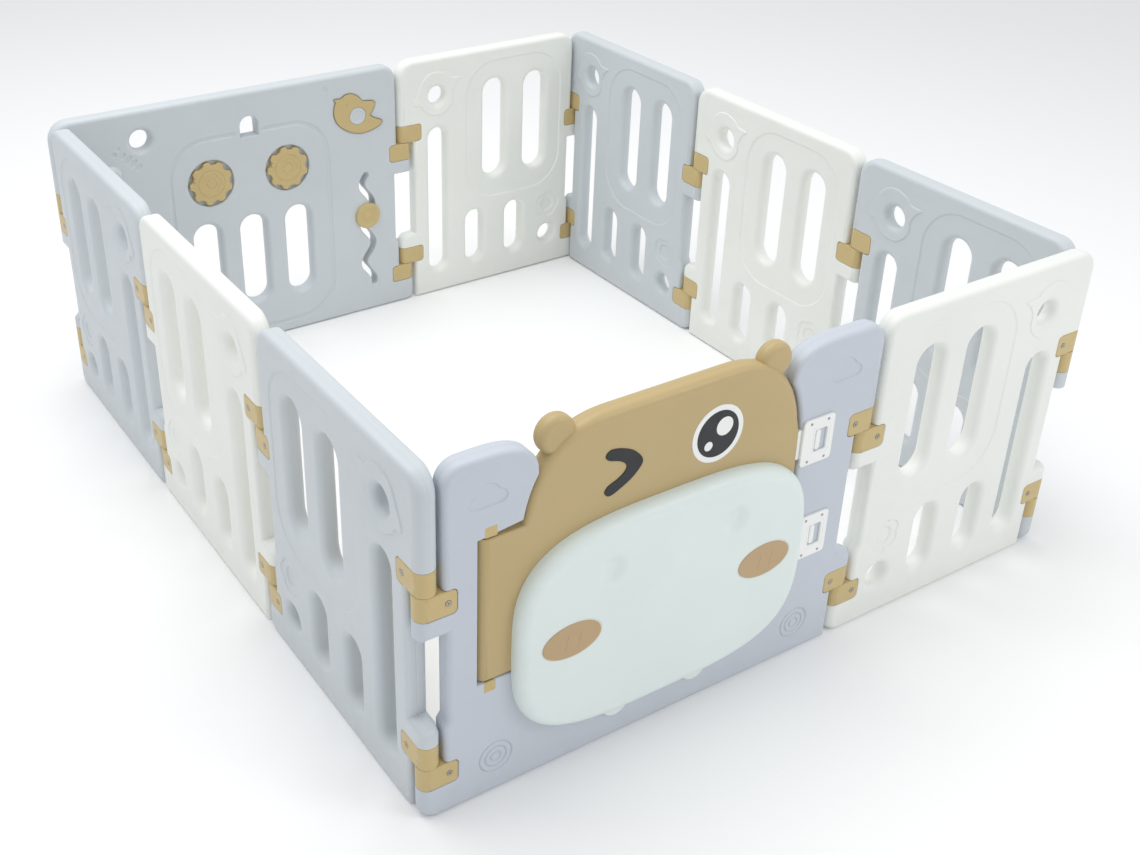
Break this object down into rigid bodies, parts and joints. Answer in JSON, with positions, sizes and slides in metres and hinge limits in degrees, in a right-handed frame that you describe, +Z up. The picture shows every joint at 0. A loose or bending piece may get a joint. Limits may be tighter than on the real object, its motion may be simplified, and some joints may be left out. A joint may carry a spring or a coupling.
{
  "type": "baby playpen",
  "caption": "Folding rectangular playpen of hinged blow-moulded plastic panels with an animal-face gate door, sliding latches and a panel of turning and sliding toys.",
  "frame": {"origin": "on the floor at the middle of the bounding box", "axes": "+Z up, +Y from the gate towards the activity panel, +X to the right as the gate is seen from outside"},
  "size_m": [1.372, 1.6044, 0.637],
  "materials": {
    "panel_grey": "blow-moulded, satin with a fine mould grain",
    "gate_grey": "blow-moulded, satin, faintly lavender",
    "panel_white": "blow-moulded, satin with a fine mould grain",
    "khaki": "satin",
    "snout_white": "smooth satin",
    "white_trim": "smooth, slightly glossy",
    "black_trim": "smooth, slightly glossy"
  },
  "bodies": {
    "gate_frame": {"gate_frame": "gate_grey", "gate_hinge_cap_lower": "khaki", "gate_hinge_cap_upper": "khaki", "door_hinge_block_upper": "khaki", "door_hinge_block_lower": "khaki", "latch_plate_upper": "white_trim", "latch_plate_lower": "white_trim"},
    "gate_door": {"gate_door": "khaki", "snout_panel": "snout_white", "cheek_left": "khaki", "cheek_right": "khaki", "eye_ring": "white_trim", "eye_iris": "black_trim", "eye_glint_large": "white_trim", "eye_glint_small": "white_trim", "wink_mark": "black_trim"},
    "latch_bolt_upper": {"latch_bolt_upper": "white_trim"},
    "latch_bolt_lower": {"latch_bolt_lower": "white_trim"},
    "front_panel": {"front_panel": "panel_white", "front_panel_hinge_cap_lower": "khaki", "front_panel_hinge_cap_upper": "khaki"},
    "right_panel_1": {"right_panel_1": "panel_grey", "right_panel_1_hinge_cap_lower": "khaki", "right_panel_1_hinge_cap_upper": "khaki"},
    "right_panel_2": {"right_panel_2": "panel_white", "right_panel_2_hinge_cap_lower": "khaki", "right_panel_2_hinge_cap_upper": "khaki"},
    "right_panel_3": {"right_panel_3": "panel_grey", "right_panel_3_hinge_cap_lower": "khaki", "right_panel_3_hinge_cap_upper": "khaki"},
    "back_panel": {"back_panel": "panel_white", "back_panel_hinge_cap_lower": "khaki", "back_panel_hinge_cap_upper": "khaki"},
    "left_panel_1": {"left_panel_1": "panel_grey", "left_panel_1_hinge_cap_lower": "khaki", "left_panel_1_hinge_cap_upper": "khaki"},
    "left_panel_2": {"left_panel_2": "panel_white", "left_panel_2_hinge_cap_lower": "khaki", "left_panel_2_hinge_cap_upper": "khaki"},
    "left_panel_3": {"left_panel_3": "panel_grey", "left_panel_3_hinge_cap_lower": "khaki", "left_panel_3_hinge_cap_upper": "khaki"},
    "activity_panel": {"activity_panel": "panel_grey", "activity_hinge_cap_lower": "khaki", "activity_hinge_cap_upper": "khaki", "bird_inlay": "khaki"},
    "gear_left": {"gear_left": "khaki"},
    "gear_right": {"gear_right": "khaki"},
    "wave_slider": {"wave_slider": "khaki"}
  },
  "joints": [
    {"name": "front_left_corner_hinge", "type": "hinge", "parent": "gate_frame", "child": "left_panel_1", "pos_m": [-0.668, -0.75685, 0], "axis": [0, 0, 1], "range_deg": [-20, 20]},
    {"name": "left_row_hinge_1", "type": "hinge", "parent": "left_panel_1", "child": "left_panel_2", "pos_m": [-0.668, -0.24485, 0], "axis": [0, 0, 1], "range_deg": [-90, 90]},
    {"name": "left_row_hinge_2", "type": "hinge", "parent": "left_panel_2", "child": "left_panel_3", "pos_m": [-0.668, 0.26715, 0], "axis": [0, 0, 1], "range_deg": [-90, 90]},
    {"name": "back_left_corner_hinge", "type": "hinge", "parent": "left_panel_3", "child": "activity_panel", "pos_m": [-0.668, 0.77915, 0], "axis": [0, 0, 1], "range_deg": [-20, 20]},
    {"name": "front_row_hinge", "type": "hinge", "parent": "gate_frame", "child": "front_panel", "pos_m": [0.156, -0.75685, 0], "axis": [0, 0, 1], "range_deg": [-90, 0]},
    {"name": "front_right_corner_hinge", "type": "hinge", "parent": "front_panel", "child": "right_panel_1", "pos_m": [0.668, -0.75685, 0], "axis": [0, 0, 1], "range_deg": [-20, 20]},
    {"name": "right_row_hinge_1", "type": "hinge", "parent": "right_panel_1", "child": "right_panel_2", "pos_m": [0.668, -0.24485, 0], "axis": [0, 0, 1], "range_deg": [-90, 90]},
    {"name": "right_row_hinge_2", "type": "hinge", "parent": "right_panel_2", "child": "right_panel_3", "pos_m": [0.668, 0.26715, 0], "axis": [0, 0, 1], "range_deg": [-90, 90]},
    {"name": "back_right_corner_hinge", "type": "hinge", "parent": "right_panel_3", "child": "back_panel", "pos_m": [0.668, 0.77915, 0], "axis": [0, 0, 1], "range_deg": [-20, 20]},
    {"name": "gate_door_hinge", "type": "hinge", "parent": "gate_frame", "child": "gate_door", "pos_m": [-0.57, -0.75685, 0], "axis": [0, 0, 1], "range_deg": [-100, 0]},
    {"name": "latch_bolt_upper_slide", "type": "slide", "parent": "gate_frame", "child": "latch_bolt_upper", "axis": [1, 0, 0], "range_m": [0, 0.01]},
    {"name": "latch_bolt_lower_slide", "type": "slide", "parent": "gate_frame", "child": "latch_bolt_lower", "axis": [1, 0, 0], "range_m": [0, 0.01]},
    {"name": "gear_left_spin", "type": "hinge", "parent": "activity_panel", "child": "gear_left", "pos_m": [-0.344, 0.77915, 0.42], "axis": [0, 1, 0], "continuous": true},
    {"name": "gear_right_spin", "type": "hinge", "parent": "activity_panel", "child": "gear_right", "pos_m": [-0.156, 0.77915, 0.42], "axis": [0, 1, 0], "continuous": true},
    {"name": "wave_slider_slide", "type": "slide", "parent": "activity_panel", "child": "wave_slider", "axis": [0.6177, 0, 0.7864], "range_m": [-0.018, 0.018]}
  ],
  "couplings": [
    {"joint": "back_left_corner_hinge", "follows": "front_left_corner_hinge", "ratio": -1},
    {"joint": "front_right_corner_hinge", "follows": "front_left_corner_hinge", "ratio": 1},
    {"joint": "back_right_corner_hinge", "follows": "front_left_corner_hinge", "ratio": -1},
    {"joint": "left_row_hinge_2", "follows": "left_row_hinge_1", "ratio": -1},
    {"joint": "right_row_hinge_1", "follows": "left_row_hinge_1", "ratio": 1},
    {"joint": "right_row_hinge_2", "follows": "left_row_hinge_1", "ratio": -1}
  ]
}
